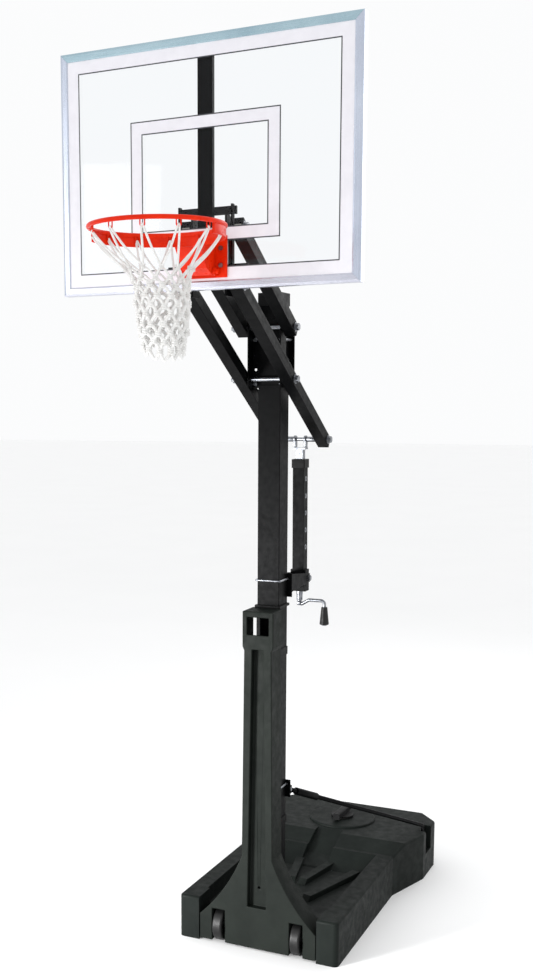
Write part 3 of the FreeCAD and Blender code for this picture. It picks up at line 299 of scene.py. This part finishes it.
finishes = [
    (tank_plastic, 0.006, ["ballast_tank"]),
    (shroud_plastic, 0.004, ["pole_shroud"]),
    (collar_plastic, 0.002, ["pole_collar", "pole_cap", "jack_collar"]),
    (trim_plastic, 0.0015, ["fill_cap", "wheel_left", "wheel_right"]),
    (tyre_rubber, 0.0, ["tyre_left", "tyre_right", "fill_gasket"]),
    (grip_rubber, 0.001, ["crank_grip"]),
    (zinc, 0.0008, [
        "wheel_axle", "pole_u_bolts", "base_bolts", "clamp_bolts", "pole_pivot_bolts", "jack_cross_bolt",
        "jack_trunnions", "jack_inner_tube", "jack_eyelets", "lead_screw", "crank_rod",
        "board_pivot_bolts", "rim_fixing",
    ]),
    (black_coat, 0.0012, [
        "shroud_grip_bar", "shroud_straps", "pole_foot_bracket", "brace_bracket", "brace_left",
        "brace_right", "brace_sleeves", "pivot_bracket", "clamp_plate", "jack_bracket", "jack_housing",
        "jack_outer_tube",
    ]),
    (black_coat, 0.003, [
        "main_pole", "lower_arm_left", "lower_arm_right", "upper_arm_left", "upper_arm_right",
    ]),
    (frame_black, 0.0015, ["centre_bar", "board_cross_bars", "board_uprights", "board_ears"]),
    (bush_plastic, 0.0, ["lower_arm_bushes", "upper_bushes_left", "upper_bushes_right"]),
    (sheet_clear, 0.0, ["backboard_panel"]),
    # the top rail's bluer, darker tint is a painted reflection
    (rail_top_painted_reflection, 0.0008, ["frame_top"]),
    (rail_across, 0.0008, ["frame_bottom"]),
    (rail_up, 0.0008, ["frame_left", "frame_right"]),
    (orange, 0.0012, ["rim_plate", "rim_brace", "rim_box"]),
    (orange, 0.0, ["rim_ring", "net_hooks"]),
]
for material, edge, names in finishes:
    for name in names:
        finish_node(name, material, edge)


# ---- printed border and target ----------------------------------------------------------------
def piece_from(name, verts, faces, material):
    """A new mesh object with one material."""
    mesh = bpy.data.meshes.new(name)
    mesh.from_pydata(verts, [], faces)
    mesh.validate()
    mesh.materials.append(material)
    made = bpy.data.objects.new(name, mesh)
    bpy.context.scene.collection.objects.link(made)
    return made


def printed_frame(name, half_width, low, high, line, thickness, material):
    """Rectangular line of ink that stands on the front of the sheet, inward from its outline."""
    verts = []
    for y in (sheet_y - thickness, sheet_y):
        for inward in (0, line):
            x, z0, z1 = half_width - inward, low + inward, high - inward
            verts += [(-x, y, z0), (x, y, z0), (x, y, z1), (-x, y, z1)]
    faces = []
    for i in range(4):
        j = (i + 1) % 4
        faces.append((i, j, 4 + j, 4 + i))
        faces.append((8 + j, 8 + i, 12 + i, 12 + j))
        faces.append((j, i, 8 + i, 8 + j))
        faces.append((4 + i, 4 + j, 12 + j, 12 + i))
    made = piece_from(name, verts, faces, material)
    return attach(made, "board")


WHITE_THICKNESS = 0.0005
GREY_THICKNESS = 0.0007
WHITE_LINE = 0.0508
GREY_LINE = 0.0044
RAIL_LIP = 0.0318
TARGET_HALF_WIDTH = 0.3048
TARGET_HEIGHT = 0.4572
TARGET_ABOVE_RAIL = 0.1755

sheet_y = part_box("backboard_panel")[0].y
frame_low, frame_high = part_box("frame_left")[0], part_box("frame_right")[1]
border_half = frame_high.x - RAIL_LIP
border_low, border_high = frame_low.z + RAIL_LIP, frame_high.z - RAIL_LIP
target_low = frame_low.z + TARGET_ABOVE_RAIL
target_high = target_low + TARGET_HEIGHT
inset = WHITE_LINE - GREY_LINE
printed_frame("print_border", border_half, border_low, border_high, WHITE_LINE, WHITE_THICKNESS, ink_white)
printed_frame("print_border_edge", border_half - inset, border_low + inset, border_high - inset,
              GREY_LINE, GREY_THICKNESS, ink_grey)
printed_frame("print_target", TARGET_HALF_WIDTH, target_low, target_high,
              WHITE_LINE, WHITE_THICKNESS, ink_white)
printed_frame("print_target_outer", TARGET_HALF_WIDTH, target_low, target_high,
              GREY_LINE, GREY_THICKNESS, ink_grey)
printed_frame("print_target_inner", TARGET_HALF_WIDTH - inset, target_low + inset, target_high - inset,
              GREY_LINE, GREY_THICKNESS, ink_grey)


# ---- net --------------------------------------------------------------------------------------
def cord_tube(bm, uv, points, radius, sides=8):
    """Adds a round cord along points, with a UV map that runs round and along it in metres."""
    count = len(points)
    rings = []
    side_way = None
    for i, p in enumerate(points):
        a = points[max(i - 1, 0)]
        b = points[min(i + 1, count - 1)]
        way = (b - a).normalized()
        if side_way is None:
            side_way = way.orthogonal().normalized()
        side_way = (side_way - way * side_way.dot(way)).normalized()
        other = way.cross(side_way)
        ring = []
        for k in range(sides):
            turn = 2 * math.pi * k / sides
            ring.append(bm.verts.new(p + (side_way * math.cos(turn) + other * math.sin(turn)) * radius))
        rings.append(ring)
    run = 0.0
    for i in range(count - 1):
        step = (points[i + 1] - points[i]).length
        for k in range(sides):
            n = (k + 1) % sides
            face = bm.faces.new((rings[i][k], rings[i][n], rings[i + 1][n], rings[i + 1][k]))
            face.smooth = True
            u0, u1 = k / sides, (k + 1) / sides
            corners = ((u0, run), (u1, run), (u1, run + step), (u0, run + step))
            for loop, corner in zip(face.loops, corners):
                loop[uv].uv = corner
        run += step
    bm.faces.new(list(reversed(rings[0])))
    bm.faces.new(rings[-1])


def smooth_path(points, steps=6):
    """Catmull-Rom line through points."""
    line_points = []
    padded = [points[0] * 2 - points[1]] + points + [points[-1] * 2 - points[-2]]
    for i in range(1, len(padded) - 2):
        a, b, c, d = padded[i - 1:i + 3]
        for k in range(steps):
            t = k / steps
            bend = (2 * a - 5 * b + 4 * c - d) * t * t
            twist = (3 * b - a - 3 * c + d) * t ** 3
            line_points.append(0.5 * ((2 * b) + (c - a) * t + bend + twist))
    line_points.append(points[-1])
    return line_points


ring_low, ring_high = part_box("rim_ring")
ring_centre = (ring_low + ring_high) / 2
HOOK_COUNT = 12
HOOK_RADIUS = 0.2252
HOOK_TOP = -0.0215
HOOK_EYE = -0.034
HOOK_HALF_GAP = 0.0048
FIRST_HOOK_DEGREES = 105
FRINGE_DROP = 0.031
TAIL_START = 0.22
# rows of knots: height from the ring's centre, and distance from the net's axis
ROWS = [(-0.146, 0.118), (-0.180, 0.100), (-0.209, 0.092), (-0.237, 0.089), (-0.265, 0.088),
        (-0.293, 0.087), (-0.321, 0.085), (-0.348, 0.082), (-0.374, 0.078), (-0.399, 0.072)]


def net_axis(drop):
    """The net hangs a little to one side below its top."""
    share = min(1.0, drop / TAIL_START)
    return Vector((0.022 * share * share, -0.004 * share, 0))


def net_point(turn, radius, drop, jitter=0.0):
    """A point on the net's funnel, whose tail hangs lower on one side."""
    wobble = Vector([rng.uniform(-jitter, jitter) for _ in range(3)])
    around = Vector((math.cos(turn), math.sin(turn), 0)) * radius
    sag = 0.03 * max(0.0, (drop - TAIL_START) / 0.19) * math.cos(turn + math.radians(50))
    return ring_centre + around + net_axis(drop) + Vector((0, 0, -drop - sag)) + wobble


def cord_at(row):
    """The tail is knotted from the same cord doubled up, so it is thicker than the top."""
    return (0.0044, 0.0052)[row] if row < 2 else 0.0062


def wrapped_knot(bm, uv, centre, cord):
    """Short coil of cord round the place where two strands meet."""
    outward = Vector((centre.x - ring_centre.x, centre.y - ring_centre.y, 0)).normalized()
    tangent = Vector((-outward.y, outward.x, 0))
    turns = 2.6
    steps = 26
    points = []
    for k in range(steps + 1):
        t = k / steps
        turn = 2 * math.pi * turns * t
        offset = tangent * math.cos(turn) * cord * 1.45 + outward * math.sin(turn) * cord * 1.15
        points.append(centre + offset + Vector((0, 0, (t - 0.5) * cord * 3.4)))
    cord_tube(bm, uv, points, cord * 0.75, 6)


def build_net():
    """Cord net: loops on the hooks, rows of diamonds with wrapped knots, and a fringe of loops."""
    bm = bmesh.new()
    uv = bm.loops.layers.uv.new("cord")
    step = 2 * math.pi / HOOK_COUNT
    first = math.radians(FIRST_HOOK_DEGREES)
    knots = []
    for k, (z, radius) in enumerate(ROWS):
        jitter = 0.0048 if k > 1 else 0.003
        half = 0.5 * ((k + 1) % 2)
        turns = [first + (i + half) * step for i in range(HOOK_COUNT)]
        knots.append([net_point(turn, radius, -z, jitter) for turn in turns])
    cord = cord_at(0)
    for i in range(HOOK_COUNT):
        turn = first + i * step
        tangent = Vector((-math.sin(turn), math.cos(turn), 0))
        outward = Vector((math.cos(turn), math.sin(turn), 0))
        top = ring_centre + outward * (HOOK_RADIUS + 0.005) + Vector((0, 0, HOOK_TOP))
        inner = ring_centre + outward * HOOK_RADIUS + Vector((0, 0, HOOK_EYE))
        left = knots[0][(i - 1) % HOOK_COUNT]
        right = knots[0][i]
        path = [left, left.lerp(inner, 0.5) + outward * 0.008, inner - tangent * HOOK_HALF_GAP, top,
                inner + tangent * HOOK_HALF_GAP, right.lerp(inner, 0.5) + outward * 0.008, right]
        cord_tube(bm, uv, smooth_path(path), cord * 0.92)
    for k in range(len(ROWS) - 1):
        upper, lower = knots[k], knots[k + 1]
        shift = 0 if k % 2 else 1
        for i in range(HOOK_COUNT):
            for j in ((i - 1 + shift) % HOOK_COUNT, (i + shift) % HOOK_COUNT):
                a, b = upper[i], lower[j]
                both = (a.x + b.x - 2 * ring_centre.x, a.y + b.y - 2 * ring_centre.y, 0)
                outward = Vector(both).normalized()
                across = (b - a).cross(outward).normalized()
                bow = rng.uniform(0.1, 0.2) * (b - a).length
                side = 1 if j == (i + shift) % HOOK_COUNT else -1
                middle = a.lerp(b, 0.5) + outward * rng.uniform(0.001, 0.004) - across * bow * side * 0.35
                cord_tube(bm, uv, smooth_path([a, middle, b], 5), cord_at(k))
    for k, row in enumerate(knots):
        for knot in row:
            wrapped_knot(bm, uv, knot, cord_at(k) * 0.95)
    last = knots[-1]
    for i in range(HOOK_COUNT):
        a, b = last[i], last[(i + 1) % HOOK_COUNT]
        low = a.lerp(b, 0.5) + Vector((rng.uniform(-0.003, 0.003), rng.uniform(-0.003, 0.003), -FRINGE_DROP))
        a_low = a.lerp(low, 0.6) + (a - b) * 0.08
        b_low = b.lerp(low, 0.6) + (b - a) * 0.08
        cord_tube(bm, uv, smooth_path([a, a_low, low, b_low, b], 5), cord_at(len(ROWS)))
    mesh = bpy.data.meshes.new("cord_net")
    bm.to_mesh(mesh)
    bm.free()
    mesh.materials.append(cord_white)
    made = bpy.data.objects.new("cord_net", mesh)
    bpy.context.scene.collection.objects.link(made)
    return made


net = build_net()
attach(net, "rim")
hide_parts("net")


# ---- floor, light, camera ---------------------------------------------------------------------
def pale_floor():
    """Wide plain floor."""
    s = Shader("pale_floor")
    colour = s.ramp(s.noise(0.8, 3), [(0.3, (0.95, 0.95, 0.95)), (0.7, (0.965, 0.965, 0.965))])
    s.principled(colour, s.spread(s.noise(3, 3), 0.6, 0.75))
    size = 60.0
    verts = [(-size, -size, 0), (size, -size, 0), (size, size, 0), (-size, size, 0)]
    floor = piece_from("floor", verts, [(0, 1, 2, 3)], s.material)


def area_light(name, place, target, size, power, cone=180):
    """Soft square light aimed at a point, narrowed to a cone in degrees."""
    data = bpy.data.lights.new(name, "AREA")
    data.shape = "SQUARE"
    data.size = size
    data.energy = power
    data.spread = math.radians(cone)
    lamp = bpy.data.objects.new(name, data)
    bpy.context.scene.collection.objects.link(lamp)
    lamp.location = place
    way = Vector(target) - Vector(place)
    lamp.rotation_euler = way.to_track_quat("-Z", "Y").to_euler()


def studio():
    """Near-white surroundings with four soft lights; the low one falls on the base alone."""
    world = bpy.data.worlds.new("studio")
    bpy.context.scene.world = world
    world.use_nodes = True
    background = world.node_tree.nodes["Background"]
    background.inputs["Color"].default_value = (0.97, 0.975, 0.98, 1)
    background.inputs["Strength"].default_value = 1.0
    area_light("key", (-4.5, -6.8, 3.6), (0, 0, 1.6), 2.2, 40)
    area_light("low", (-3.0, -4.6, 1.0), (0, -0.2, 0.4), 1.0, 70, 60)
    area_light("side", (4.5, -2.5, 3.0), (0, 0.2, 1.4), 2.5, 12)
    area_light("back", (1.5, 5.0, 4.5), (0, 0, 1.5), 3.0, 70)


def camera():
    """View from the court, to the right of the hoop and below the rim's height."""
    data = bpy.data.cameras.new("camera")
    data.sensor_fit = "AUTO"
    data.sensor_width = 36.0
    data.lens = 44.617
    data.shift_x = 0.10585
    data.shift_y = 0.08364
    view = bpy.data.objects.new("camera", data)
    bpy.context.scene.collection.objects.link(view)
    yaw, pitch, roll = 0.46725, -0.1396, -0.00668
    level = Matrix.Rotation(yaw, 4, "Z") @ Matrix.Rotation(math.pi / 2 + pitch, 4, "X")
    turn = level @ Matrix.Rotation(roll, 4, "Z")
    view.matrix_world = Matrix.Translation((1.9506, -4.9373, 2.4469)) @ turn
    bpy.context.scene.camera = view


pale_floor()
studio()
camera()
bpy.context.scene.view_settings.view_transform = "Standard"
